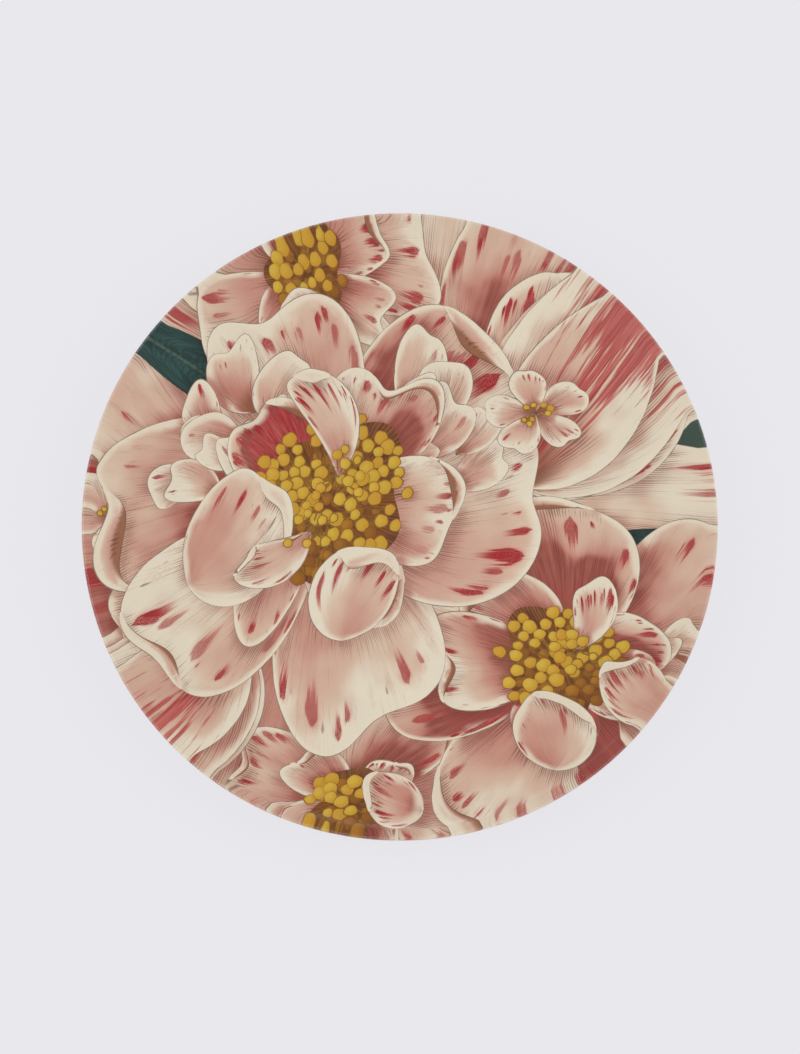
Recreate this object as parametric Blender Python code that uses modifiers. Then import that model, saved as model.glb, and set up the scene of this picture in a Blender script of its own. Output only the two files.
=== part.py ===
"""A round decoupage glass plate: a shallow glass dish with a printed sheet glued to its back and a backing that seals it.

Metres, +Z up. The origin is the centre of the flat underside that the plate rests on.
The three layers are nested. Each is a flat disc that runs into an upturned arc, and all the arcs share one
centre, so a layer is the band between two depths, which are measured upwards from the plate's underside.
"""

import math

import bpy

# Driving dimensions.
PLATE_DIAMETER = 0.203
FLAT_RADIUS = 0.066  # where the flat middle ends and the rim starts to rise
RIM_ARC_RADIUS = 0.060  # of the plate's underside, the outermost of the nested arcs
BACKING_THICKNESS = 0.0005
SHEET_THICKNESS = 0.0003
GLASS_THICKNESS = 0.0036
LAYER_GAP = 0.0003  # the glue line between two layers
SHEET_SETBACK = 0.0011  # how far the sheet and the backing stop short of the glass's edge

TURN_STEPS = 96
ARC_STEPS = 9
EDGE_STEPS = 6
MERGE_DISTANCE = 0.00005

# Depths of the layers' faces above the underside.
SHEET_BOTTOM = BACKING_THICKNESS + LAYER_GAP
SHEET_TOP = SHEET_BOTTOM + SHEET_THICKNESS
GLASS_BOTTOM = SHEET_TOP + LAYER_GAP
GLASS_TOP = GLASS_BOTTOM + GLASS_THICKNESS
GLASS_MIDDLE = (GLASS_BOTTOM + GLASS_TOP) / 2

# How far round the arcs' centre each layer climbs.
EDGE_RADIUS = GLASS_THICKNESS / 2
GLASS_REACH = PLATE_DIAMETER / 2 - EDGE_RADIUS
SHEET_REACH = PLATE_DIAMETER / 2 - SHEET_SETBACK
GLASS_ANGLE = math.asin((GLASS_REACH - FLAT_RADIUS) / (RIM_ARC_RADIUS - GLASS_MIDDLE))
SHEET_ANGLE = math.asin((SHEET_REACH - FLAT_RADIUS) / (RIM_ARC_RADIUS - SHEET_BOTTOM))


def clear_scene():
    for old in list(bpy.data.objects):
        bpy.data.objects.remove(old)


def finish(name, colour, roughness, metallic=0.0, transmission=0.0):
    """A Principled BSDF material."""
    material = bpy.data.materials.new(name)
    material.use_nodes = True
    inputs = material.node_tree.nodes["Principled BSDF"].inputs
    inputs["Base Color"].default_value = (*colour, 1.0)
    inputs["Roughness"].default_value = roughness
    inputs["Metallic"].default_value = metallic
    inputs["Transmission Weight"].default_value = transmission
    return material


def rim_point(depth, angle):
    """The point (radius, height) at this depth, at this angle round the arcs' centre."""
    arc = RIM_ARC_RADIUS - depth
    return FLAT_RADIUS + arc * math.sin(angle), RIM_ARC_RADIUS - arc * math.cos(angle)


def rim_arc(depth, end_angle):
    """The rim's curve at this depth, from the end of the flat middle outwards."""
    return [rim_point(depth, end_angle * step / ARC_STEPS) for step in range(ARC_STEPS + 1)]


def fire_polished_edge():
    """The half circle that closes the glass, from its top face round to its underside."""
    radius, height = rim_point(GLASS_MIDDLE, GLASS_ANGLE)
    turns = [GLASS_ANGLE + math.pi * (0.5 - step / EDGE_STEPS) for step in range(1, EDGE_STEPS)]
    return [(radius + EDGE_RADIUS * math.cos(turn), height + EDGE_RADIUS * math.sin(turn)) for turn in turns]


def layer_profile(bottom, top, end_angle, edge=()):
    """A layer's outline: from the axis outwards over its top face, round its edge, and back underneath."""
    upper = [(0.0, top)] + rim_arc(top, end_angle)
    lower = rim_arc(bottom, end_angle)[::-1] + [(0.0, bottom)]
    return upper + list(edge) + lower


def turned(name, profile, material, collection):
    """One solid: the profile turned a full circle about Z."""
    mesh = bpy.data.meshes.new(name)
    points = [(radius, 0.0, height) for radius, height in profile]
    mesh.from_pydata(points, [(i, i + 1) for i in range(len(points) - 1)], [])
    mesh.materials.append(material)
    obj = bpy.data.objects.new(name, mesh)
    collection.objects.link(obj)
    screw = obj.modifiers.new("Turn", "SCREW")
    screw.axis = "Z"
    screw.steps = TURN_STEPS
    screw.render_steps = TURN_STEPS
    screw.use_merge_vertices = True
    screw.merge_threshold = MERGE_DISTANCE
    screw.use_smooth_shade = True
    return obj


def glass_plate(collection):
    clear = finish("clear_glass", (0.93, 0.97, 0.95), 0.02, transmission=1.0)
    profile = layer_profile(GLASS_BOTTOM, GLASS_TOP, GLASS_ANGLE, fire_polished_edge())
    return turned("glass_plate", profile, clear, collection)


def print_sheet(collection):
    paper = finish("printed_paper", (0.61, 0.41, 0.33), 0.55)
    return turned("print_sheet", layer_profile(SHEET_BOTTOM, SHEET_TOP, SHEET_ANGLE), paper, collection)


def backing_layer(collection):
    leaf = finish("gilt_backing", (0.62, 0.46, 0.22), 0.38, metallic=0.85)
    return turned("backing_layer", layer_profile(0.0, BACKING_THICKNESS, SHEET_ANGLE), leaf, collection)


def build():
    clear_scene()
    plate = bpy.data.collections.new("decoupage_plate")
    bpy.context.scene.collection.children.link(plate)
    for make in (backing_layer, print_sheet, glass_plate):
        make(plate)


build()
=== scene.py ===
import math

import bmesh
import bpy
import numpy as np
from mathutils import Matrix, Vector
from mathutils.geometry import delaunay_2d_cdt


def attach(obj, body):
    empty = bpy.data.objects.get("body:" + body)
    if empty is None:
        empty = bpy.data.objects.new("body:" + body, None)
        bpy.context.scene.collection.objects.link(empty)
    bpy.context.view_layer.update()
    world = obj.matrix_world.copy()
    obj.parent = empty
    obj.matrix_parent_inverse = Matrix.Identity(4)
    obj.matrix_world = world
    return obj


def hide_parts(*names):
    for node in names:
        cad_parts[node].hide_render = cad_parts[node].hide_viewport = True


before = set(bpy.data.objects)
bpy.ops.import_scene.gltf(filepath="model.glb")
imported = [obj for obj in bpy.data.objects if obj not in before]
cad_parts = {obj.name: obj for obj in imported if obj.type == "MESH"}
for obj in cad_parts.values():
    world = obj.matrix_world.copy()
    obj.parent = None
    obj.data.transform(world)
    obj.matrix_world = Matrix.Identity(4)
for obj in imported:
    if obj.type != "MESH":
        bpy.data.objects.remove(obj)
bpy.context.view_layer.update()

print("frame loaded")

# The layers share one arc centre, so each face is a depth above the underside. Metres.
plate = {
    "radius": 0.1015,
    "flatRadius": 0.066,
    "arcRadius": 0.060,
    "glassBottom": 0.00106,
    "glassTop": 0.0050,
    "sheetBottom": 0.0008,
    "sheetTop": 0.0011,
    "backingTop": 0.0005,
    "sheetReach": 0.1004,
    "sharpFrom": math.radians(40),
}


def layerHeight(radius, depth):
    out = np.maximum(np.asarray(radius, float) - plate["flatRadius"], 0.0)
    arc = plate["arcRadius"] - depth
    return plate["arcRadius"] - np.sqrt(np.maximum(arc * arc - out * out, 0.0))


def deselectAll():
    for other in bpy.context.selected_objects:
        other.select_set(False)


def addObject(name, data):
    piece = bpy.data.objects.new(name, data)
    bpy.context.scene.collection.objects.link(piece)
    return piece


# The printed picture is drawn flat, in millimetres: a list of shapes, each over the ones before it.
perMetre = 1000
drawing = {
    "reach": perMetre * plate["sheetReach"],
    "rimSteps": 360,
    "edgeStep": 1.0,
    "inset": 0.8,
    "gridStep": 1.9,
    "rowRise": 0.866,
    "clearance": 0.55,
    "cutBeyond": 2,
    "rimGap": 0.5,
    "weld": 1e-5,
    "edgeLimit": 12,
    "bareEdge": 5,
}
plainTone = {"rose": 0.4, "fleck": 0.0, "flame": 0.0, "lines": 30.0, "hatch": 0.5, "soft": 3.0}
lipTone = {"rose": 0.18, "fleck": 0.0, "flame": 0.0, "hatch": 0.5, "soft": 1.7}


def pointing(degrees):
    return np.array([math.cos(math.radians(degrees)), math.sin(math.radians(degrees))])


def circle(angles):
    return np.column_stack([np.cos(angles), np.sin(angles)])


def inside(points, outline):
    px, py = points[:, 0:1], points[:, 1:2]
    ax, ay = outline[:, 0], outline[:, 1]
    bx, by = np.roll(ax, -1), np.roll(ay, -1)
    crosses = (ay > py) != (by > py)
    with np.errstate(divide="ignore", invalid="ignore"):
        at = ax + (py - ay) * (bx - ax) / (by - ay)
    return (crosses & (px < at)).sum(1) % 2 == 1


def distanceTo(points, outline):
    side = np.roll(outline, -1, 0) - outline
    long = np.maximum((side * side).sum(1), 1e-9)
    result = np.empty(len(points))
    block = 2000
    for start in range(0, len(points), block):
        p = points[start:start + block, None, :]
        t = np.clip(((p - outline) * side).sum(2) / long, 0, 1)
        gap = p - (outline + t[..., None] * side)
        result[start:start + block] = np.sqrt((gap * gap).sum(2).min(1))
    return result


def resample(points, step):
    closed = np.vstack([points, points[:1]])
    run = np.concatenate([[0], np.cumsum(np.hypot(*np.diff(closed, axis=0).T))])
    count = max(10, int(round(run[-1] / step)))
    at = np.linspace(0, run[-1], count, endpoint=False)
    return np.column_stack([np.interp(at, run, side) for side in closed.T])


def placed(centre, angle=0.0, squash=1.0, squashAngle=0.0):
    def spin(degrees):
        c, s = pointing(degrees)
        return np.array([[c, -s], [s, c]])
    lean = spin(squashAngle)
    return lean @ np.diag([1.0, squash]) @ lean.T @ spin(angle), np.array(centre, float)


def drawsFrom(seed):
    chance = np.random.RandomState(seed)
    return chance, chance.uniform


def growth(matrix):
    return abs(np.linalg.det(matrix)) ** 0.5


def addShape(sheet, look, outline, placeOf, move, step=drawing["edgeStep"], **tone):
    matrix, centre = move
    outline = resample(outline, step / max(0.2, growth(matrix))) @ matrix.T + centre
    back = np.linalg.inv(matrix)
    sheet.append({
        "look": look,
        "outline": outline,
        "low": outline.min(0),
        "high": outline.max(0),
        "place": lambda points: placeOf((points - centre) @ back.T),
        "tone": {**plainTone, **tone},
    })


def fanPetal(base, heading, length, spread, roundness=3.0, shoulder=1.8, bend=0.0, belly=0.2,
             wave=0.03, notch=0.0, point=0.0, footLift=0.0, seed=0):
    some = np.random.RandomState(seed).uniform
    skew = some(-0.22, 0.22)
    waves = [(some(2.2, 7.5), some(0, 6.3), some(0.4, 1.0)) for _ in range(4)]
    base = np.array(base, float)
    heading = math.radians(heading)

    def margin(t):
        lean = t + skew * (1 - t * t)
        body = np.maximum(1 - np.abs(lean) ** roundness, 0) ** (1 / shoulder)
        ripple = sum(k * np.sin(f * t + p) for f, p, k in waves) / 2
        dent, tip = notch * np.exp(-(t / 0.2) ** 2), point * np.exp(-np.abs(t) / 0.16)
        return body * (1 + wave * ripple) - dent + tip

    def pointAt(t, v):
        s = v * margin(t)
        angle = heading + bend * s + t * spread * (1 + belly * (1 - s))
        return base + (length * s)[:, None] * circle(angle)

    # A place on a petal is u across the fan, -1 to 1, and v from the foot, 0, to the margin, 1.
    def placeOf(points):
        d = points - base
        s = np.hypot(d[:, 0], d[:, 1]) / length
        angle = np.arctan2(d[:, 1], d[:, 0]) - heading - bend * s
        angle = (angle + math.pi) % (2 * math.pi) - math.pi
        u = np.clip(angle / (spread * (1 + belly * (1 - s))), -1.2, 1.2)
        v = np.clip(s / np.maximum(margin(np.clip(u, -1, 1)), 0.12), 0, 1.3)
        return np.column_stack([u, footLift + (1 - footLift) * v])

    t = np.sin(np.linspace(-math.pi / 2, math.pi / 2, 240))
    return {"outline": pointAt(t, np.ones(len(t))), "placeOf": placeOf, "pointAt": pointAt,
            "width": spread * length}


def anyPetal(chance, *place, **form):
    return fanPetal(*place, **form, seed=chance.randint(9999))


def addPetal(sheet, petal, move, chance, gap=0.92, lip=None, **tone):
    width = petal["width"] * growth(move[0])
    tone.update(lines=width / gap, seed=chance.uniform())
    addShape(sheet, "petal", petal["outline"], petal["placeOf"], move, **tone)
    if lip is None:
        return
    # A rolled margin: a crescent that shows the petal's pale back.
    low, high, deep = lip
    t = np.linspace(low, high, 60)
    bulge = np.sin(math.pi * ((t - low) / (high - low)))
    outer = petal["pointAt"](t, 1.0 + 0.02 * bulge)
    inner = petal["pointAt"](t, 1.0 - deep * bulge ** 0.75 * (1 + 0.25 * np.sin(7 * t)))

    def placeOf(points):
        u, v = petal["placeOf"](points).T
        return np.column_stack([(u - low) / (high - low) * 2 - 1, np.clip((v - (1 - deep)) / deep, 0, 1.2)])

    tone = {**tone, **lipTone, "lines": (high - low) * width / 2 / gap}
    addShape(sheet, "lip", np.vstack([outer, inner[::-1]]), placeOf, move, **tone)


def someLip(chance, odds, deeper=1.0):
    some = chance.uniform
    low, long, deep = some(-0.85, -0.1), some(0.6, 1.1), some(0.05, 0.11)
    return (low, min(0.88, low + long), deep * deeper) if some() < odds else None


def roundPlace(centre, radius):
    return lambda points: (points - np.array(centre, float)) / radius


def addRound(sheet, look, centre, radius, move, chance, rough, steps, step=drawing["edgeStep"]):
    seed = chance.uniform()
    a = np.linspace(0, 2 * math.pi, steps, endpoint=False)
    ripple = 1 + rough * sum(np.sin(k * a + chance.uniform(0, 6.3)) for k in (2, 3, 5)) / 1.5
    outline = np.array(centre) + radius * ripple[:, None] * circle(a)
    addShape(sheet, look, outline, roundPlace(centre, radius), move, step=step, seed=seed)


anthers = {
    "size": 2.3,
    "perArea": 0.15,
    "reach": 1.1,
    "gap": 1.5,
    "shift": 0.08,
    "dimPerArea": 0.13,
    "dimReach": 0.86,
    "dimGap": 1.4,
    "dimShift": 0.12,
    "dimFrom": 0.36,
    "filamentFrom": 0.35,
    "footWidth": 0.22,
    "tipWidth": 0.34,
    "hubs": 0.62,
    "flat": 0.9,
}


def packSpots(reach, count, gap, chance, gather):
    # Spots keep a gap, and gather in three clusters.
    some = chance.uniform
    flat, turn = anthers["flat"], some(0, 2 * math.pi)
    hubs = [anthers["hubs"] * reach * np.array([math.cos(a), flat * math.sin(a)])
            for a in (turn, turn + 2.1, turn + 4.2)]
    spots = []
    for _ in range(count * 30):
        a, r = some(0, 2 * math.pi), reach * some(0.02, 1.0) ** 0.55
        spot = np.array([math.cos(a) * r, math.sin(a) * r * flat])
        near = min(np.hypot(*(spot - hub)) for hub in hubs) / reach
        if some() > 1 - gather * min(1.0, 2.2 * near):
            continue
        if all(np.hypot(*(spot - other)) > gap for other in spots):
            spots.append(spot)
        if len(spots) == count:
            break
    return spots


def addStamens(sheet, move, reach, count, size, chance, crowd=0, near=-90):
    # A dim crowd stands deep in the well, and bright anthers stand over it on the far side.
    toward = pointing(near)
    dim = packSpots(reach * anthers["dimReach"], crowd, size * anthers["dimGap"], chance, 0.5)
    for spot in sorted(dim, key=lambda spot: spot @ toward):
        addRound(sheet, "dimAnther", spot + toward * reach * anthers["dimShift"],
                 size * chance.uniform(0.75, 1.05), move, chance, rough=0.07, steps=48)
    spots = packSpots(reach * anthers["reach"], count, size * anthers["gap"], chance, 0.9)
    spots = [spot - toward * reach * anthers["shift"] for spot in spots]
    spots.sort(key=lambda spot: spot @ toward)
    for spot in spots:
        across = np.array([-spot[1], spot[0]]) / max(np.hypot(*spot), 0.1)
        root = spot * anthers["filamentFrom"]
        foot, tip = across * anthers["footWidth"], across * anthers["tipWidth"]
        strip = np.array([root - foot, spot - tip, spot + tip, root + foot])
        if np.hypot(*spot) > size * 1.5:
            addShape(sheet, "filament", strip, roundPlace(root, 10), move, step=0.9, seed=chance.uniform())
    for spot in spots:
        depth = spot @ toward / reach + chance.uniform(-0.3, 0.3)
        look = "dimAnther" if crowd and depth > anthers["dimFrom"] else "anther"
        addRound(sheet, look, spot, size * chance.uniform(0.82, 1.18), move, chance, rough=0.06, steps=56,
                 step=0.8)


def addTuft(sheet, move, radius, toward, chance):
    # Small pale petals that crowd over each other.
    some = chance.uniform
    for row, count in enumerate((4, 4, 3)):
        out = radius * (0.56 - 0.13 * row)
        for k in (0, count - 1, *range(1, count - 1)):
            heading = toward + (k - (count - 1) / 2) * (15 + 3 * row) + some(-6, 6)
            base = (out + radius * some(-0.05, 0.05)) * pointing(heading)
            petal = anyPetal(chance, base, heading + some(-35, 35), radius * some(0.22, 0.34),
                             some(0.5, 0.72), bend=some(-0.5, 0.5), belly=0.5, wave=0.12,
                             notch=chance.choice([0.0, 0.1]))
            addPetal(sheet, petal, move, chance, gap=0.74, rose=chance.choice([0.05, 0.2, 0.7]), fleck=0.05)


def addBlossom(sheet, centre, radius, turn, seed, squash=0.92, squashAngle=20, petals=6, rose=0.6, fleck=0.5,
               near=-90, curls=(), standing=(), stamens=0.3, tufts=(), accent=None):
    chance, some = drawsFrom(seed)
    move = placed(centre, turn, squash, squashAngle)
    for k in (*range(0, petals, 2), *range(1, petals, 2)):
        heading = 360 / petals * k + some(-8, 8)
        petal = anyPetal(chance, (0, 0), heading, radius * some(0.9, 1.06), some(0.62, 0.76),
                         bend=some(-0.35, 0.35), wave=0.06, notch=chance.choice([0.0, 0.04, 0.08]),
                         footLift=-0.15)
        addPetal(sheet, petal, move, chance, lip=someLip(chance, 0.6),
                 rose=rose * chance.choice([0.2, 0.8, 1.6, 2.6]), fleck=fleck * some(0.3, 1.6),
                 hatch=some(0.3, 0.6))
    for toward in tufts:
        addTuft(sheet, move, radius, toward - turn, chance)
    # The inner row stands up, and is seen shorter. The accent petal is crimson all over.
    inner = petals - 1
    for k in range(inner):
        heading = 360 / inner * k + 25 + some(-10, 10)
        petal = anyPetal(chance, (0, 0), heading, radius * some(0.5, 0.68), some(0.6, 0.78),
                         bend=some(-0.4, 0.4), wave=0.08, notch=chance.choice([0.0, 0.06, 0.12]),
                         footLift=-0.4)
        tone = rose * chance.choice([0.3, 0.8, 1.3, 2.4])
        addPetal(sheet, petal, move, chance, lip=someLip(chance, 0.7, 1.4), gap=0.8,
                 rose=3.4 if accent == k else tone, fleck=fleck * some(0.2, 1.8), hatch=some(0.45, 0.7))
    well = radius * stamens
    addRound(sheet, "well", (0, 0), well, move, chance, rough=0.16, steps=96)
    addStamens(sheet, move, well, int(well ** 2 * anthers["perArea"]), anthers["size"], chance,
               crowd=int(well ** 2 * anthers["dimPerArea"]), near=near - turn)
    # Petals curl up over the near side of the stamens.
    for side, out, tall, spread, bend in curls:
        toward = near + side - turn
        petal = anyPetal(chance, radius * out * pointing(toward), toward + 180 + some(-12, 12),
                         radius * tall, spread, bend=bend, belly=1.5 / spread - 1, wave=0.1, footLift=0.35)
        low = some(-0.85, -0.5)
        lip = (low, low + some(0.9, 1.3), some(0.12, 0.2))
        addPetal(sheet, petal, move, chance, lip=lip, gap=0.8, rose=rose * some(0.4, 1.2),
                 fleck=fleck * some(0.5, 1.6), hatch=0.6)
    # Narrow petals stand up among the stamens, and a few anthers lie over their feet.
    for side, out, tall, spread, bend in standing:
        toward = near + side - turn
        base = radius * out * pointing(toward)
        petal = anyPetal(chance, base, toward + some(-15, 15), radius * tall, spread, bend=bend,
                         belly=0.35, wave=0.1, footLift=0.2)
        addPetal(sheet, petal, move, chance, lip=someLip(chance, 0.8, 1.6), gap=0.8,
                 rose=rose * some(0.4, 1.4), fleck=fleck * some(0.6, 1.8), hatch=0.65)
        foot = (move[0], move[1] + move[0] @ base)
        addStamens(sheet, foot, radius * 0.12, 9, 1.9, chance, near=near - turn)


def addTulip(sheet, base, heading, length, seed):
    chance, some = drawsFrom(seed)
    move = placed(base, heading)
    tips = ((-22, 0.9, 0.5), (22, 0.9, 0.5), (-3, 1.0, 0.42), (-13, 0.98, 0.5), (14, 0.97, 0.5),
            (1, 0.86, 0.52))
    for angle, tall, spread in tips:
        petal = anyPetal(chance, (0, 0), angle, length * tall, spread * 0.95, roundness=1.9, shoulder=1.15,
                         belly=1.5, bend=-0.012 * angle, point=0.04)
        addPetal(sheet, petal, move, chance, gap=0.9, rose=0.5 * some(0.5, 1.1), flame=0.9)


def addSprig(sheet, centre, size, turn, seed):
    chance, some = drawsFrom(seed)
    move = placed(centre, turn, 0.88, some(0, 180))
    for k in (0, 2, 4, 1, 3):
        petal = anyPetal(chance, (0, 0), 72 * k + some(-6, 6), size * some(0.9, 1.1), 0.66, wave=0.05,
                         notch=0.08)
        addPetal(sheet, petal, move, chance, gap=0.8, rose=0.25 * some(0.4, 1.4), fleck=0.25, hatch=0.55)
    addStamens(sheet, move, size * 0.3, 8, 1.25, chance)


def addLeaf(sheet, base, heading, length, spread, seed):
    leaf = fanPetal((0, 0), heading, length, spread, roundness=1.7, shoulder=1.1, belly=1.6, bend=0.2,
                    wave=0.02, seed=seed)
    addShape(sheet, "leaf", leaf["outline"], leaf["placeOf"], placed(base), lines=9.0, seed=(seed % 97) / 97)


def addBackPetals(sheet):
    # Big pale petals, cut off by the rim, in three rows.
    chance, some = drawsFrom(41)
    here = placed((0, 0))
    rows = ((8, 0, 126, 4, 0.62), (7, 36, 76, 18, 0.66), (5, 42, 60, 50, 0.6))
    for row, (count, reach, size, turn, spread) in enumerate(rows):
        for k in range(count):
            heading = 360 / count * k + turn + some(-6, 6)
            petal = anyPetal(chance, reach * pointing(heading), heading + some(-16, 16) * (row > 0),
                             size * some(0.92, 1.08), spread * some(0.9, 1.1), bend=some(-0.35, 0.35),
                             wave=0.05, notch=chance.choice([0.0, 0.05]))
            addPetal(sheet, petal, here, chance, lip=someLip(chance, 0.4) if row > 1 else None,
                     rose=chance.choice([0.2, 0.8, 1.4, 2.0]), fleck=some(0.25, 0.8), hatch=some(0.4, 0.7))


def drawShapes():
    sheet = []
    addBackPetals(sheet)
    for heading, seed in ((141, 3), (-6, 8)):
        addLeaf(sheet, 54 * pointing(heading), heading - 4, 60, 0.24, seed)
    # Two blossoms cut by the rim, two tulips, a sprig, two whole blossoms and a sprig over them. Curls and
    # standing petals are given as the side they stand on, how far out, height, spread and bend.
    addBlossom(sheet, (-30, 84), 52, 20, 36, squash=0.8, squashAngle=110, petals=5, near=-70, stamens=0.27,
               curls=((0, 0.56, 0.5, 0.7, 0.3),))
    addBlossom(sheet, (-16, -90), 44, 5, 38, squash=0.85, petals=5, rose=0.8, near=-20, stamens=0.28,
               curls=((10, 0.56, 0.5, 0.7, -0.3),))
    addTulip(sheet, (38, 14), 52, 86, 11)
    addTulip(sheet, (-50, -36), 226, 76, 12)
    addSprig(sheet, (-93, 2), 16, 50, 25)
    addBlossom(sheet, (52, -44), 64, 15, 31, squash=0.9, squashAngle=0, rose=0.75, near=-60,
               curls=((-34, 0.62, 0.46, 0.66, 0.4), (28, 0.6, 0.4, 0.6, -0.4)),
               standing=((110, 0.1, 0.42, 0.5, 0.5),), tufts=(-20,), accent=3)
    addBlossom(sheet, (-24, 8), 78, 40, 53, squash=0.9, squashAngle=60, near=-110, stamens=0.34,
               curls=((-42, 0.68, 0.56, 0.6, 0.4), (30, 0.6, 0.42, 0.66, -0.4)),
               standing=((-8, 0.12, 0.36, 0.5, -0.5), (175, 0.12, 0.5, 0.42, 0.6)), tufts=(150, 30), accent=1)
    addSprig(sheet, (44, 38), 17, 30, 24)
    return sheet


def boxed(points, shape):
    return (points >= shape["low"]).all(1) & (points <= shape["high"]).all(1)


def coveredBy(points, shapes):
    hidden = np.zeros(len(points), bool)
    for shape in shapes:
        at = np.flatnonzero(~hidden & boxed(points, shape))
        if len(at):
            hidden[at] = inside(points[at], shape["outline"])
    return hidden


def rowsBeside(shape, above):
    # Loose points just inside an outline, where it can be seen.
    outline = shape["outline"]
    side = np.roll(outline, -1, 0) - np.roll(outline, 1, 0)
    side = np.column_stack([-side[:, 1], side[:, 0]]) / np.maximum(np.hypot(*side.T), 1e-6)[:, None]
    inset = min(drawing["inset"], 0.4 * min(shape["high"] - shape["low"]))
    rows = []
    for sign in (1, -1):
        spots = outline + sign * side * inset
        spots = spots[inside(spots, outline)]
        spots = spots[~coveredBy(spots, above)]
        rows.append(spots[distanceTo(spots, outline) > inset * 0.7])
    return rows


def clearOf(points, fixed, gap):
    # Loose points keep clear of the outlines and of each other.
    taken = {}
    kept = []
    for x, y in fixed:
        taken.setdefault((int(x // gap), int(y // gap)), []).append((x, y))
    cells = [(i, j) for i in (-1, 0, 1) for j in (-1, 0, 1)]
    for x, y in points:
        cx, cy = int(x // gap), int(y // gap)
        others = (other for i, j in cells for other in taken.get((cx + i, cy + j), ()))
        if all((qx - x) ** 2 + (qy - y) ** 2 >= gap * gap for qx, qy in others):
            kept.append((x, y))
            taken.setdefault((cx, cy), []).append((x, y))
    return kept


def planarMap(sheet):
    # Only the stretches of outline that can be seen are cut into the sheet.
    reach, steps = drawing["reach"], drawing["rimSteps"]
    rim = reach * circle(np.linspace(0, 2 * math.pi, steps, endpoint=False))
    points, edges, loose = [rim], [(k, (k + 1) % steps) for k in range(steps)], []
    total = steps
    for number, shape in enumerate(sheet):
        outline = shape["outline"]
        above = [other for other in sheet[number + 1:]
                 if (other["low"] <= shape["high"]).all() and (other["high"] >= shape["low"]).all()]
        hidden = coveredBy(outline, above) | (np.hypot(*outline.T) > reach + drawing["cutBeyond"])
        middle = coveredBy((outline + np.roll(outline, -1, 0)) / 2, above)
        seen = np.flatnonzero(~(hidden & np.roll(hidden, -1) & middle))
        pairs = np.column_stack([seen, (seen + 1) % len(outline)])
        used = np.unique(pairs)
        points.append(outline[used])
        edges += (total + np.searchsorted(used, pairs)).tolist()
        total += len(used)
        loose += rowsBeside(shape, above)
    step, rise = drawing["gridStep"], drawing["rowRise"]
    rows = int(reach / (step * rise)) + 1
    for j in range(-rows, rows + 1):
        xs = np.arange(-reach, reach, step) + (step / 2 if j % 2 else 0)
        loose.append(np.column_stack([xs, np.full(len(xs), j * step * rise)]))
    fixed, loose = np.vstack(points), np.vstack(loose)
    loose = loose[np.hypot(*loose.T) < reach - drawing["rimGap"]]
    loose = clearOf(loose, fixed, drawing["clearance"])
    print("drawing:", len(fixed), "outline points,", len(loose), "loose points")
    corners = [Vector(corner) for corner in np.vstack([fixed, loose]).tolist()]
    result = delaunay_2d_cdt(corners, edges, [], 0, drawing["weld"], False)
    spots, faces = np.array(result[0]), np.array(result[2], int)
    faces = faces[inside(spots[faces].mean(1), rim)]
    middle = spots[faces].mean(1)
    # Each face belongs to the topmost shape over it.
    owner = np.full(len(faces), -1)
    for number in reversed(range(len(sheet))):
        at = np.flatnonzero((owner < 0) & boxed(middle, sheet[number]))
        owner[at[inside(middle[at], sheet[number]["outline"])]] = number
    return spots, faces, owner


class Wire:
    # A node's output. Sums and products of wires make the maths nodes.
    def __init__(self, node, key=0):
        self.tree = node.id_data
        self.socket = node.outputs[key]

    def __rsub__(self, other):
        return maths("SUBTRACT", other, self)


signs = {"add": "ADD", "sub": "SUBTRACT", "mul": "MULTIPLY", "truediv": "DIVIDE", "pow": "POWER",
         "abs": "ABSOLUTE"}
for sign, operation in signs.items():
    setattr(Wire, f"__{sign}__", lambda *wires, operation=operation: maths(operation, *wires))


def treeOf(*values):
    return next(value.tree for value in values if isinstance(value, Wire))


def fill(node, inputs):
    for key, value in inputs.items():
        if isinstance(value, Wire):
            value.tree.links.new(value.socket, node.inputs[key])
        else:
            node.inputs[key].default_value = value


def addNode(tree, kind, inputs=None, **settings):
    node = tree.nodes.new("ShaderNode" + kind)
    for name, value in settings.items():
        setattr(node, name, value)
    fill(node, inputs or {})
    return node


def maths(operation, *values):
    return Wire(addNode(treeOf(*values), "Math", dict(enumerate(values)), operation=operation))


def clamped(wire):
    wire.socket.node.use_clamp = True
    return wire


def fade(value, start, end, low=0.0, high=1.0, kind="SMOOTHSTEP"):
    inputs = {"Value": value, "From Min": start, "From Max": end, "To Min": low, "To Max": high}
    return Wire(addNode(value.tree, "MapRange", inputs, interpolation_type=kind))


def tint(amount, first, second, blend="MIX"):
    inputs = {0: amount, 6: first, 7: second}
    return Wire(addNode(treeOf(*inputs.values()), "Mix", inputs, data_type="RGBA", blend_type=blend), 2)


def between(amount, first, second):
    return Wire(addNode(amount.tree, "Mix", {0: amount, 2: first, 3: second}))


def vector(x, y, z=0.0):
    return Wire(addNode(treeOf(x, y, z), "CombineXYZ", {0: x, 1: y, 2: z}))


def parts(value, kind="XYZ"):
    node = addNode(value.tree, "Separate" + kind, {0: value})
    return [Wire(node, key) for key in range(3)]


def fromAxis(x, y):
    return maths("SQRT", x * x + y * y)


def noise(place, scale, detail=2.0, output=0, **more):
    inputs = {"Vector": place, "Scale": scale, "Detail": detail, **more}
    return Wire(addNode(place.tree, "TexNoise", inputs), output)


def luck(place, dimensions):
    node = addNode(place.tree, "TexWhiteNoise", {"Vector": place}, noise_dimensions=dimensions)
    return parts(Wire(node, "Color"), "Color")


def bump(height, strength, distance):
    inputs = {"Strength": strength, "Distance": distance, "Height": height}
    return Wire(addNode(height.tree, "Bump", inputs))


def objectPlace(tree):
    return Wire(addNode(tree, "TexCoord"), "Object")


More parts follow.
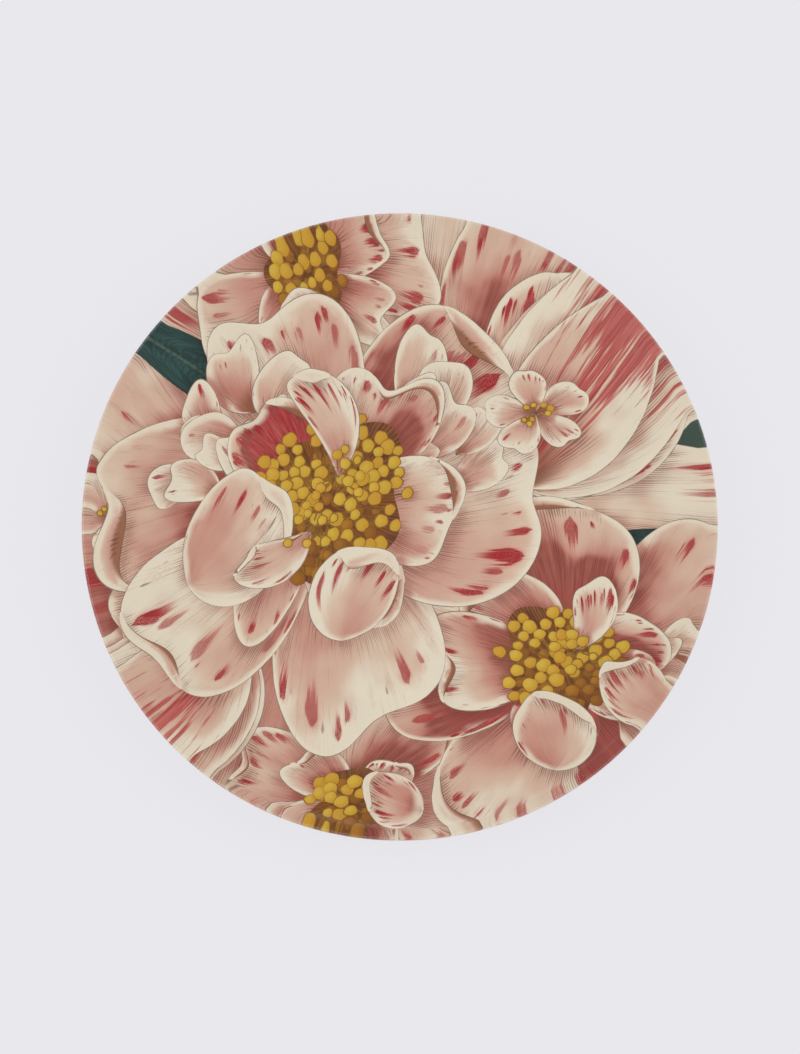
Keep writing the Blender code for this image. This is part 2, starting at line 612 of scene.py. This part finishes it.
def inks(**colours):
    # The colours are written as on screen, 0 to 255, and the shaders take linear ones.
    return {name: tuple(((c / 255 + 0.055) / 1.055) ** 2.4 for c in colour) + (1.0,)
            for name, colour in colours.items()}


def newMaterial(name, roughness):
    material = bpy.data.materials.new(name)
    material.use_nodes = True
    tree = material.node_tree
    shader = tree.nodes["Principled BSDF"]
    fill(shader, {"Roughness": roughness})
    return material, tree, shader


def newGroup(name, ins, outs):
    # A socket named Color carries a colour, and every other one a number.
    group = bpy.data.node_groups.new(name, "ShaderNodeTree")
    for way, labels in (("INPUT", ins), ("OUTPUT", outs)):
        for label in labels:
            kind = "NodeSocketColor" if label == "Color" else "NodeSocketFloat"
            socket = group.interface.new_socket(label, in_out=way, socket_type=kind)
            if way == "INPUT" and ins[label] is not None:
                socket.default_value = ins[label]
    start = group.nodes.new("NodeGroupInput")
    return group, {label: Wire(start, label) for label in ins}, group.nodes.new("NodeGroupOutput")


def useGroup(tree, name, inputs):
    node = addNode(tree, "Group", inputs, node_tree=groups[name])
    return {socket.name: Wire(node, socket.name) for socket in node.outputs}


def paperGroup():
    group, ins, end = newGroup("paperTexture", {"Color": None, "Amount": 1.0}, ["Color", "Height"])
    place = objectPlace(group)
    grain = noise(place, 1400.0, 4.0, Roughness=0.7)
    cloud = noise(place, 38.0, 5.0, Roughness=0.6)
    light = grain * 0.09 + cloud * 0.14 + 0.89
    shade = (light - 1.0) * ins["Amount"] + 1.0
    grey = Wire(addNode(group, "CombineColor", {0: shade, 1: shade, 2: shade}))
    fill(end, {"Color": tint(1.0, ins["Color"], grey, blend="MULTIPLY"), "Height": grain})
    return group


def inkGroup():
    group, ins, end = newGroup("inkOutline", {"Edge": 1.0, "Width": 0.26}, ["Mask"])
    place = objectPlace(group)
    width = ins["Width"] * fade(noise(place, 90.0), 0.3, 0.7, 0.35, 1.35)
    edge = ins["Edge"] + (noise(place, 900.0) - 0.5) * 0.12
    fill(end, {"Mask": fade(width - edge, -0.07, 0.07)})
    return group


def hatchGroup():
    ins = {"Across": 0.0, "Along": 0.0, "Lines": 30.0, "Weight": 0.5, "Seed": 0.5}
    group, ins, end = newGroup("hatching", ins, ["Mask"])
    across, along, seed = ins["Across"], ins["Along"], ins["Seed"]
    drift = noise(vector(across * 2.2, along * 1.8, seed * 37.0), 1.0)

    def rule(lines, number):
        phase = across * lines + drift * 3.2
        line = maths("FLOOR", phase) + number
        chance = luck(vector(line, seed), "2D")
        # Each line keeps its own length, and breaks here and there.
        lift = noise(vector(line * 7.3, along * 9.0, seed), 1.0, 1.0)
        weight = ins["Weight"] + ((chance[0] - 0.55) * 0.5 + (lift - 0.5) * 0.5)
        crest = abs(maths("FRACT", phase) - (chance[1] * 0.3 + 0.35))
        return fade(clamped(weight * 0.28) - crest, -0.05, 0.07) * fade(weight, 0.06, 0.4)

    # The fan draws together at the foot, so every other line stops on the way.
    outer = rule(ins["Lines"], 0.0) * fade(along, 0.42, 0.6)
    foot = rule(ins["Lines"] * 0.5, 500.0) * fade(along, 0.6, 0.42)
    fill(end, {"Mask": outer + foot})
    return group


def fleckGroup():
    ins = {"Across": 0.0, "Along": 0.0, "Seed": 0.5, "Count": 4.0, "Odds": 0.4, "Width": 0.2,
           "Longest": 0.3, "Hair": 0.5}
    group, ins, end = newGroup("paintedFlecks", ins, ["Mask", "Head", "Halo"])
    cell = ins["Across"] * ins["Count"] + ins["Seed"] * 91.0
    chance = luck(vector(maths("FLOOR", cell), ins["Seed"], ins["Count"]), "3D")
    off = maths("FRACT", cell) - fade(chance[0], 0.0, 1.0, 0.3, 0.7, "LINEAR")
    top = fade(chance[1], 0.0, 1.0, 0.84, 0.95, "LINEAR")
    size = chance[2] ** 1.4
    long = ins["Longest"] * (size * 0.75 + 0.25)
    # The taper runs from 0 at the tail to 1 at the head.
    taper = (ins["Along"] - (top - long)) / long
    hair = ins["Hair"] - 0.5
    head = taper + hair * 0.22
    body = maths("MAXIMUM", taper, 0.0) ** 0.75 * fade(head, 1.05, 0.7) ** 0.5
    gap = body * (ins["Width"] * (size * 0.8 + 0.36)) - abs(off)
    # The brush hairs part towards the tail.
    gap = gap + hair * (ins["Width"] * (taper * -0.9 + 1.5))
    ends = fade(taper, 0.0, 0.55) * fade(head, 1.08, 0.98) * maths("LESS_THAN", chance[0], ins["Odds"])
    ends = ends * fade(chance[1], 0.0, 0.6, 0.55, 1.0)
    fill(end, {"Mask": fade(gap, -0.015, 0.035) * ends, "Halo": fade(gap, -0.13, 0.02) * ends,
               "Head": fade(taper + hair * 0.6, 0.0, 0.6)})
    return group


printRoughness = 0.6
# What each corner of the sheet's faces carries for the materials, beside its place on the shape.
layers = {
    "wash": ("edge", "shade", "seed"),
    "marks": ("rose", "fleck", "flame"),
    "strokes": ("lines", "hatch", "side"),
}


def startPrint(name):
    material, tree, shader = newMaterial(name, printRoughness)
    place = parts(Wire(addNode(tree, "UVMap", uv_map="petalPlace")))
    at = {"u": place[0], "v": place[1]}
    for layer, names in layers.items():
        node = addNode(tree, "Attribute", attribute_name=layer)
        at.update(zip(names, parts(Wire(node, "Vector"))))
    return material, tree, at


def finishPrint(material, colour, grain=1.0):
    tree = material.node_tree
    paper = useGroup(tree, "paper", {"Color": colour, "Amount": grain})
    fill(tree.nodes["Principled BSDF"], {"Base Color": paper["Color"],
                                         "Normal": bump(paper["Height"], 0.08, 0.0001)})
    return material


def streaks(at, across, along, shift=0.0):
    place = vector(at["u"] * across, at["v"] * along, at["seed"] * 53.0 + shift)
    return noise(place, 1.0, 3.0, Roughness=0.6)


def drawOutline(at, colour, ink, width, strength=0.8):
    mask = useGroup(at["edge"].tree, "ink", {"Edge": at["edge"], "Width": width})["Mask"]
    return tint(mask * strength, colour, ink)


def drawLines(at, colour, ink, strength, across, along, lines, weight):
    inputs = {"Across": across, "Along": along, "Lines": lines, "Weight": weight, "Seed": at["seed"]}
    return tint(useGroup(along.tree, "hatch", inputs)["Mask"] * strength, colour, ink)


petalInk = inks(
    cream=(234, 221, 198), blush=(219, 186, 162), midBlush=(210, 163, 143), rose=(193, 118, 102),
    deepRose=(154, 76, 64), foot=(142, 86, 48), crimson=(166, 24, 34), paleCrimson=(200, 92, 86),
    tick=(132, 76, 66), line=(106, 46, 40), outline=(100, 74, 56))
petalLook = {
    "shade": (0.6, 0.35, 0.32, 1.0),
    "shadeStrength": 0.38,
    "fleckRows": ((4.0, 1.3, 0.3, 0.34), (7.0, 1.0, 0.3, 0.24)),
    "haloStrength": 0.4,
    "tickStrength": 0.7,
    "lineStrength": 0.6,
    "outlineWidth": 0.24,
}


def petalMaterial():
    ink, look = petalInk, petalLook
    material, tree, at = startPrint("petalPrint")
    u, v, edge = at["u"], at["v"], at["edge"]
    cloud = noise(objectPlace(tree), 42.0)
    brush, fine, hair = streaks(at, 4.5, 1.2), streaks(at, 24.0, 2.4, 7.0), streaks(at, 70.0, 3.0, 17.0)
    inward = 1.0 - v
    shade = at["shade"] * fade(cloud * 0.6 + brush * 0.4, 0.42, 0.56, 0.4, 1.0)
    # Washes deepen from the margin to the foot, and on one side more than the other.
    reach = inward + (brush - 0.5) * 0.28 + (cloud - 0.5)
    reach = reach + at["side"] * u * 0.45 + (at["rose"] - 0.6) * 0.14
    colour = tint(fade(reach, -0.01, 0.27), ink["cream"], ink["blush"])
    colour = tint(fade(reach, 0.18, 0.6), colour, ink["midBlush"])
    deep = fade(reach, 0.26, 0.86) * at["rose"]
    colour = tint(clamped(deep * 1.0), colour, ink["rose"])
    deeper = fade(deep, 0.5, 1.15) * fade(fine, 0.3, 0.65, 0.6, 1.0)
    colour = tint(deeper, colour, ink["deepRose"])
    crimson = tint(fade(fine, 0.3, 0.7), ink["crimson"], ink["paleCrimson"])
    colour = tint(fade(deep, 1.6, 2.6), colour, crimson)
    colour = tint(fade(inward, 0.58, 0.92, 0.0, 0.85), colour, ink["foot"])
    # Shade beside whatever lies over the petal.
    shaded = tint(1.0, colour, look["shade"], blend="MULTIPLY")
    colour = tint(clamped(shade * look["shadeStrength"]), colour, shaded)
    # A pale border inside the outline.
    border = fade(edge * fade(cloud, 0.38, 0.64, 1.5, 0.55), 2.5, 0.7, 0.0, 0.86)
    border = border * fade(shade, 0.8, 0.2) * fade(inward, 0.75, 0.5)
    colour = tint(border, colour, ink["cream"])
    # Flames on the tulips.
    tongue = (1.0 - abs(u)) * 0.62 + fine * 0.95 + fade(v, 0.35, 1.0) * 0.16
    flame = fade(tongue, 0.98, 1.1) * at["flame"] * fade(edge + fine * 5.0, 3.2, 4.4)
    crimson = tint(fade(hair, 0.35, 0.65), ink["crimson"], ink["paleCrimson"])
    colour = tint(flame, colour, crimson)
    # Painted flecks close behind the margin, and small brown ticks.
    strand = fade(streaks(at, 34.0, 1.6, 29.0) * 0.7 + hair * 0.3, 0.3, 0.7)
    place = {"Across": u, "Along": v, "Seed": at["seed"]}
    for count, odds, width, longest in look["fleckRows"]:
        flecks = useGroup(tree, "fleck", {**place, "Count": count, "Odds": at["fleck"] * odds,
                                          "Width": width, "Longest": longest, "Hair": strand})
        colour = tint(flecks["Halo"] * look["haloStrength"], colour, ink["paleCrimson"])
        colour = tint(flecks["Mask"], colour, tint(flecks["Head"], ink["paleCrimson"], ink["crimson"]))
    ticks = useGroup(tree, "fleck", {**place, "Count": 8.0, "Odds": fade(at["fleck"], 0.0, 0.05, 0.0, 0.16),
                                     "Width": 0.16, "Longest": 0.12, "Hair": hair})
    colour = tint(ticks["Mask"] * look["tickStrength"], colour, ink["tick"])
    # Engraved lines fan out from the foot and gather under overlaps.
    weight = maths("MAXIMUM", fade(inward, 1.0 - at["hatch"], 1.0), shade ** 0.9 * 0.95)
    weight = maths("MAXIMUM", weight, deeper * 0.62)
    weight = weight * fade(brush, 0.25, 0.6, 0.5, 1.15) * fade(edge, 0.6, 3.2)
    colour = drawLines(at, colour, ink["line"], look["lineStrength"], u, v, at["lines"], weight)
    colour = drawOutline(at, colour, ink["outline"], look["outlineWidth"])
    return finishPrint(material, colour)


leafInk = inks(dark=(27, 58, 57), light=(46, 82, 76), rib=(96, 116, 92), line=(16, 34, 34),
               shade=(14, 30, 30), outline=(24, 34, 30))


def leafMaterial():
    ink = leafInk
    material, tree, at = startPrint("leafPrint")
    side = abs(at["u"])
    colour = tint(fade(streaks(at, 5.0, 22.0), 0.35, 0.65), ink["dark"], ink["light"])
    colour = tint(fade(side, 0.05, 0.015, 0.0, 0.5), colour, ink["rib"])
    colour = drawLines(at, colour, ink["line"], 0.5, at["v"] - side * 0.3, at["u"], 56.0, 0.55)
    colour = tint(clamped(at["shade"] * 0.7), colour, ink["shade"])
    colour = drawOutline(at, colour, ink["outline"], 0.28)
    return finishPrint(material, colour)


wellInk = inks(deep=(112, 54, 2), light=(158, 92, 12), darkThread=(86, 46, 16), paleThread=(204, 152, 48),
               shade=(112, 60, 12), line=(78, 38, 16))


def wellMaterial():
    ink = wellInk
    material, tree, at = startPrint("wellPrint")
    angle = maths("ARCTAN2", at["v"], at["u"])
    radius = fromAxis(at["u"], at["v"])
    thread = noise(vector(angle * 9.0, radius * 2.0, at["seed"]), 1.0, 3.0)
    colour = tint(fade(radius, 0.1, 0.9), ink["deep"], ink["light"])
    colour = tint(fade(radius, 0.72, 1.05), colour, petalInk["foot"])
    colour = tint(fade(thread, 0.5, 0.66, 0.0, 0.7), colour, ink["darkThread"])
    colour = tint(fade(thread, 0.4, 0.3, 0.0, 0.55), colour, ink["paleThread"])
    colour = tint(clamped(at["shade"] * 0.5), colour, ink["shade"])
    weight = fade(radius, 0.3, 0.9, 0.35, 0.8)
    colour = drawLines(at, colour, ink["line"], 0.62, angle / math.pi, radius, 66.0, weight)
    return finishPrint(material, colour)


goldInk = {
    "anther": inks(light=(214, 176, 60), mid=(208, 161, 42), dark=(188, 136, 30), deep=(196, 132, 24)),
    "dimAnther": inks(light=(178, 120, 26), mid=(162, 102, 16), dark=(130, 74, 10), deep=(122, 64, 8)),
    "filament": inks(light=(204, 160, 56), mid=(190, 142, 44), dark=(146, 96, 28), deep=(146, 96, 28)),
}
goldOutline = {"anther": 0.3, "dimAnther": 0.24, "filament": 0.1, **inks(ink=(104, 62, 20))}


def goldMaterial(look):
    ink = goldInk[look]
    material, tree, at = startPrint(look + "Print")
    # The light spot sits off the middle of each anther.
    radius = fromAxis(at["u"] + 0.28, at["v"] - 0.32)
    colour = tint(fade(radius, 0.3, 1.0), ink["light"], ink["mid"])
    colour = tint(fade(radius, 1.0, 1.5), colour, ink["dark"])
    colour = tint(fade(at["seed"], 0.35, 1.0, 0.0, 0.5), colour, ink["deep"])
    colour = tint(clamped(at["shade"] * 0.45), colour, ink["dark"])
    colour = drawOutline(at, colour, goldOutline["ink"], goldOutline[look], 0.75)
    return finishPrint(material, colour, 0.7)


def backPaper():
    return finishPrint(newMaterial("barePaper", 0.75)[0], inks(paper=(214, 200, 170))["paper"])


sheetEdge = {
    "weld": 0.000004,
    "rings": (1.0, 0.965, 0.93, 0.895, 0.86, 0.825, 0.79, 0.755, 0.72, 0.69, 0.66, 0.35),
}
shadow = {"toward": np.array([-1.1, 1.3]), "power": 1.2, "pad": 3.2, "smallSoft": 1.3, "smallShift": 0.4}


def shadeFrom(points, above):
    # What lies over these points shades them softly, and more on one side.
    shade = np.zeros(len(points))
    low, high = points.min(0), points.max(0)
    for other in above:
        small = other["look"] in ("anther", "dimAnther")
        soft = shadow["smallSoft"] if small else other["tone"]["soft"]
        pad = shadow["pad"] * soft
        apart = (other["low"] > high + pad).any() or (other["high"] < low - pad).any()
        if apart or other["look"] == "filament":
            continue
        at = np.flatnonzero(((points > other["low"] - pad) & (points < other["high"] + pad)).all(1))
        if len(at):
            moved = points[at] + shadow["toward"] * (shadow["smallShift"] if small else 1.0)
            gap = distanceTo(moved, other["outline"])
            gap[inside(moved, other["outline"])] = 0
            shade[at] = np.maximum(shade[at], np.exp(-(gap / soft) ** shadow["power"]))
    return shade


def closeSheet(mesh, slot):
    # The wall and the back close the sheet.
    work = bmesh.new()
    work.from_mesh(mesh)
    bmesh.ops.remove_doubles(work, verts=work.verts, dist=sheetEdge["weld"])
    loop = [edge for edge in work.edges if edge.is_boundary]
    for scale in sheetEdge["rings"]:
        grown = bmesh.ops.extrude_edge_only(work, edges=loop)["geom"]
        loop = [part for part in grown if isinstance(part, bmesh.types.BMEdge)]
        for part in grown:
            if isinstance(part, bmesh.types.BMVert):
                flat = Vector((part.co.x, part.co.y, 0)).normalized() * plate["sheetReach"] * scale
                part.co = (flat.x, flat.y, float(layerHeight(flat.length, plate["sheetBottom"])))
            elif isinstance(part, bmesh.types.BMFace):
                part.material_index = slot
    centre = work.verts.new((0, 0, plate["sheetBottom"]))
    for edge in loop:
        work.faces.new((*edge.verts, centre)).material_index = slot
    bmesh.ops.recalc_face_normals(work, faces=work.faces)
    work.to_mesh(mesh)
    work.free()


def buildPrint():
    sheet = drawShapes()
    spots, faces, owner = planarMap(sheet)
    print("drawing:", len(sheet), "shapes,", len(faces), "faces,", int((owner < 0).sum()), "uncovered")
    materials = {"petal": petalMaterial(), "leaf": leafMaterial(), "well": wellMaterial()}
    materials.update({look: goldMaterial(look) for look in goldInk})
    materials["back"] = backPaper()
    looks = list(materials)
    place = np.zeros((len(faces), 3, 2))
    values = {layer: np.zeros((len(faces), 3, 3)) for layer in layers}
    values["wash"][..., 0] = drawing["bareEdge"]
    slot = np.full(len(faces), looks.index("leaf"), np.int32)
    for number, shape in enumerate(sheet):
        mine = np.flatnonzero(owner == number)
        if not len(mine):
            continue
        used, rows = np.unique(faces[mine], return_inverse=True)
        rows = rows.reshape(-1, 3)
        points = spots[used]
        local = shape["place"](points)
        edge = np.minimum(distanceTo(points, shape["outline"]), drawing["edgeLimit"])
        if shape["look"] == "lip":
            # The outline gives out where a lip's ends run thin.
            edge += 0.5 * np.clip((np.abs(local[:, 0]) - 0.7) / 0.2, 0, 1)
        tone = {**shape["tone"], "edge": edge[rows], "shade": shadeFrom(points, sheet[number + 1:])[rows]}
        tone["side"] = math.sin(71 * tone["seed"])
        for layer, names in layers.items():
            for k, name in enumerate(names):
                values[layer][mine, :, k] = tone[name]
        place[mine] = local[rows]
        slot[mine] = looks.index(shape["look"].replace("lip", "petal"))
    live, rows = np.unique(faces, return_inverse=True)
    height = layerHeight(np.hypot(*spots[live].T) / perMetre, plate["sheetTop"])
    mesh = bpy.data.meshes.new("printedSheet")
    corners = np.column_stack([spots[live] / perMetre, height])
    mesh.from_pydata(corners.tolist(), [], rows.reshape(-1, 3).tolist())
    mesh.polygons.foreach_set("material_index", slot)
    mesh.uv_layers.new(name="petalPlace").data.foreach_set("uv", place.reshape(-1).astype(np.float32))
    for layer in layers:
        carried = mesh.attributes.new(layer, "FLOAT_VECTOR", "CORNER")
        carried.data.foreach_set("vector", values[layer].reshape(-1).astype(np.float32))
    piece = addObject("printedSheet", mesh)
    closeSheet(mesh, looks.index("back"))
    mesh.shade_smooth()
    mesh.set_sharp_from_angle(angle=plate["sharpFrom"])
    for material in materials.values():
        mesh.materials.append(material)
    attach(piece, "root")
    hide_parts("print_sheet")


def rimPoint(depth, angle):
    arc = plate["arcRadius"] - depth
    return plate["flatRadius"] + arc * math.sin(angle), plate["arcRadius"] - arc * math.cos(angle)


def face(depth, angle, flatSteps, arcSteps):
    # One face of a layer, from the middle out to the end of the rim's arc.
    flat = [(plate["flatRadius"] * k / flatSteps, depth) for k in range(flatSteps)]
    return flat + [rimPoint(depth, angle * k / arcSteps) for k in range(arcSteps + 1)]


lathing = {"steps": 192, "start": 0.001, "weld": 0.00001}


def lathe(name, points, material):
    deselectAll()
    bpy.ops.mesh.primitive_plane_add(size=lathing["start"], location=(0, 0, 0))
    piece = bpy.context.object
    piece.name = piece.data.name = name
    bpy.ops.object.mode_set(mode="EDIT")
    bpy.ops.mesh.merge(type="CENTER")
    bpy.ops.transform.translate(value=(points[0][0], 0, points[0][1]))
    for (r0, z0), (r1, z1) in zip(points, points[1:]):
        bpy.ops.mesh.extrude_region_move(TRANSFORM_OT_translate={"value": (r1 - r0, 0, z1 - z0)})
    bpy.ops.mesh.select_all(action="SELECT")
    bpy.ops.mesh.spin(steps=lathing["steps"], angle=2 * math.pi, center=(0, 0, 0), axis=(0, 0, 1))
    bpy.ops.mesh.select_all(action="SELECT")
    bpy.ops.mesh.remove_doubles(threshold=lathing["weld"])
    bpy.ops.mesh.normals_make_consistent(inside=False)
    bpy.ops.object.mode_set(mode="OBJECT")
    bpy.ops.object.shade_smooth_by_angle(angle=plate["sharpFrom"])
    piece.data.materials.append(material)
    return piece


glass = {
    "flatSteps": 6,
    "arcSteps": 28,
    "edgeSteps": 14,
    "ior": 1.5,
    "clear": (1.0, 1.0, 1.0, 1.0),
    "body": (0.72, 0.9, 0.8, 1.0),
    "bodyDensity": 6.0,
    "ripple": 0.05,
    "rippleScale": 28.0,
    "dullFrom": 0.0998,
    "dullRim": 0.12,
    "wipeMarks": 0.03,
}


def glassMaterial():
    material, tree, shader = newMaterial("clearGlass", 0.0)
    # Hand-slumped glass: a slow ripple, and a rim left a little duller by the polishing.
    place = objectPlace(tree)
    ripple = noise(place, glass["rippleScale"], 1.0)
    radius = fromAxis(*parts(place)[:2])
    dull = fade(radius, glass["dullFrom"], plate["radius"], 0.0, glass["dullRim"])
    dull = dull + fade(noise(place, 30.0, 4.0), 0.5, 0.75, 0.0, glass["wipeMarks"])
    fill(shader, {"Base Color": glass["clear"], "Roughness": dull, "Transmission Weight": 1.0,
                  "IOR": glass["ior"], "Normal": bump(ripple, glass["ripple"], 0.001)})
    # The glass casts no shadow of its own on the print.
    path = addNode(tree, "LightPath")
    through = maths("MAXIMUM", Wire(path, "Is Shadow Ray"), Wire(path, "Is Diffuse Ray"))
    clear = addNode(tree, "BsdfTransparent", {"Color": glass["clear"]})
    both = addNode(tree, "MixShader", {0: through, 1: Wire(shader), 2: Wire(clear)})
    body = addNode(tree, "VolumeAbsorption", {"Color": glass["body"], "Density": glass["bodyDensity"]})
    fill(tree.nodes["Material Output"], {"Surface": Wire(both), "Volume": Wire(body)})
    return material


def buildGlass():
    half = (plate["glassTop"] - plate["glassBottom"]) / 2
    middle = (plate["glassTop"] + plate["glassBottom"]) / 2
    angle = math.asin((plate["radius"] - half - plate["flatRadius"]) / (plate["arcRadius"] - middle))
    steps = (angle, glass["flatSteps"], glass["arcSteps"])
    points = face(plate["glassTop"], *steps)
    cr, cz = rimPoint(middle, angle)
    for k in range(1, glass["edgeSteps"]):
        a = angle + math.pi * (0.5 - k / glass["edgeSteps"])
        points.append((cr + half * math.cos(a), cz + half * math.sin(a)))
    points += face(plate["glassBottom"], *steps)[::-1]
    piece = lathe("glassDish", points, glassMaterial())
    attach(piece, "root")
    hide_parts("glass_plate")


gilt = {
    **inks(gold=(182, 140, 78), paleGold=(204, 170, 106), lapGold=(226, 190, 112), clay=(116, 62, 42),
           crack=(92, 52, 30)),
    "leafSize": 0.08,
    "lap": 0.012,
    "footRadius": 0.063,
    "footWidth": 0.011,
    "flatSteps": 6,
    "arcSteps": 16,
}


def giltMaterial():
    material, tree, shader = newMaterial("agedGilt", 0.4)
    place = objectPlace(tree)
    at = parts(place)
    warp, mottle = noise(place, 45.0, 3.0), noise(place, 18.0, 5.0)
    crease = noise(place, 160.0, 6.0, Roughness=0.65, Distortion=1.2)
    # Gold leaf lies in squares that lap over each other.
    laps = []
    for axis in (0, 1):
        run = at[axis] / gilt["leafSize"] + (warp * 0.06 + (0.27 + 0.31 * axis))
        laps.append(fade(maths("FRACT", run), gilt["lap"] / gilt["leafSize"], 0.0))
    lap = maths("MAXIMUM", *laps)
    colour = tint(fade(mottle, 0.35, 0.65), gilt["gold"], gilt["paleGold"])
    colour = tint(lap * 0.55, colour, gilt["lapGold"])
    # The clay under the leaf shows in creases, and where the foot has rubbed.
    rubbed = fade(abs(fromAxis(*at[:2]) - gilt["footRadius"]), gilt["footWidth"], 0.0, 0.0, 0.07)
    bare = fade(crease * 0.55 + rubbed + mottle * 0.45, 0.56, 0.7)
    colour = tint(bare, colour, gilt["clay"])
    # Fine cracks.
    drift = {0: noise(place, 120.0, output=1), "Scale": 0.006}
    drift = addNode(tree, "VectorMath", drift, operation="SCALE")
    shaken = addNode(tree, "VectorMath", {0: place, 1: Wire(drift)}, operation="ADD")
    cell = addNode(tree, "TexVoronoi", {"Vector": Wire(shaken), "Scale": 130.0}, feature="DISTANCE_TO_EDGE")
    crack = fade(Wire(cell), 0.03, 0.0) * fade(mottle, 0.46, 0.62, 0.0, 0.45)
    fill(shader, {
        "Base Color": tint(crack, colour, gilt["crack"]),
        "Metallic": fade(bare, 0.0, 1.0, 0.9, 0.05),
        "Roughness": fade(crease, 0.3, 0.7, 0.3, 0.5) + bare * 0.3,
        "Normal": bump(lap * 0.35 + crease + bare * -0.4, 0.5, 0.0002)})
    return material


def buildBacking():
    arc = plate["arcRadius"] - plate["sheetBottom"]
    angle = math.asin((plate["sheetReach"] - plate["flatRadius"]) / arc)
    steps = (angle, gilt["flatSteps"], gilt["arcSteps"])
    points = face(plate["backingTop"], *steps) + face(0.0, *steps)[::-1]
    piece = lathe("giltBacking", points, giltMaterial())
    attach(piece, "root")
    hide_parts("backing_layer")


room = {
    **inks(light=(252, 252, 254), floor=(89, 89, 90), floorGlow=(233, 232, 237)),
    "sky": 0.62,
    "ceilingInGloss": 0.1,
    "leftInGloss": 1.9,
    "rightInGloss": 1.1,
    "sideSize": 0.9,
    "sidePower": 5.5,
    "sidePlace": (1.0, -0.05, 0.62),
    "glow": 0.885,
}


def buildRoom():
    scene = bpy.context.scene
    scene.view_settings.view_transform = "Standard"
    # Pale walls and a dark ceiling, as the glass sees them. Everything else is lit by an even sky.
    scene.world = bpy.data.worlds.new("room")
    scene.world.use_nodes = True
    tree = scene.world.node_tree
    across, _, up = parts(Wire(addNode(tree, "TexCoord"), "Generated"))
    wall = fade(across, -0.9, 0.9, room["leftInGloss"], room["rightInGloss"])
    seen = between(fade(up, 0.2, 0.36), wall, room["ceilingInGloss"])
    glossy = Wire(addNode(tree, "LightPath"), "Is Glossy Ray")
    fill(tree.nodes["Background"], {"Strength": between(glossy, room["sky"], seen), "Color": room["light"]})
    for side in (-1, 1):
        lamp = bpy.data.lights.new("sideLight", "AREA")
        lamp.shape, lamp.size, lamp.energy = "SQUARE", room["sideSize"], room["sidePower"]
        holder = addObject("sideLight", lamp)
        out, back, up = room["sidePlace"]
        holder.location = (side * out, back, up)
        holder.rotation_euler = holder.location.to_track_quat("Z", "Y").to_euler()
        holder.visible_glossy = False
    deselectAll()
    bpy.ops.mesh.primitive_plane_add(size=9.0, location=(0, 0, -0.0002))
    floor = bpy.context.object
    floor.name = "floor"
    material, tree, shader = newMaterial("paleFloor", 0.9)
    fill(shader, {"Base Color": room["floor"], "Specular IOR Level": 0.0,
                  "Emission Color": room["floorGlow"], "Emission Strength": room["glow"]})
    floor.data.materials.append(material)


view = {"elevation": 80.4, "distance": 1.2, "width": 0.2551, "sensor": 36, "aim": (0.0001, -0.0015, 0.0145)}


def buildCamera():
    data = bpy.data.cameras.new("view")
    data.sensor_fit = "HORIZONTAL"
    data.sensor_width = view["sensor"]
    data.lens = view["sensor"] * view["distance"] / view["width"]
    camera = addObject("view", data)
    tilt = math.radians(view["elevation"])
    camera.location = Vector(view["aim"]) + view["distance"] * Vector((0, -math.cos(tilt), math.sin(tilt)))
    camera.rotation_euler = (math.radians(90) - tilt, 0, 0)
    bpy.context.scene.camera = camera


buildRoom()
buildCamera()
print("room ready")
groups = {"paper": paperGroup(), "ink": inkGroup(), "hatch": hatchGroup(), "fleck": fleckGroup()}
buildPrint()
print("print ready")
buildGlass()
buildBacking()
print("glass and backing ready")
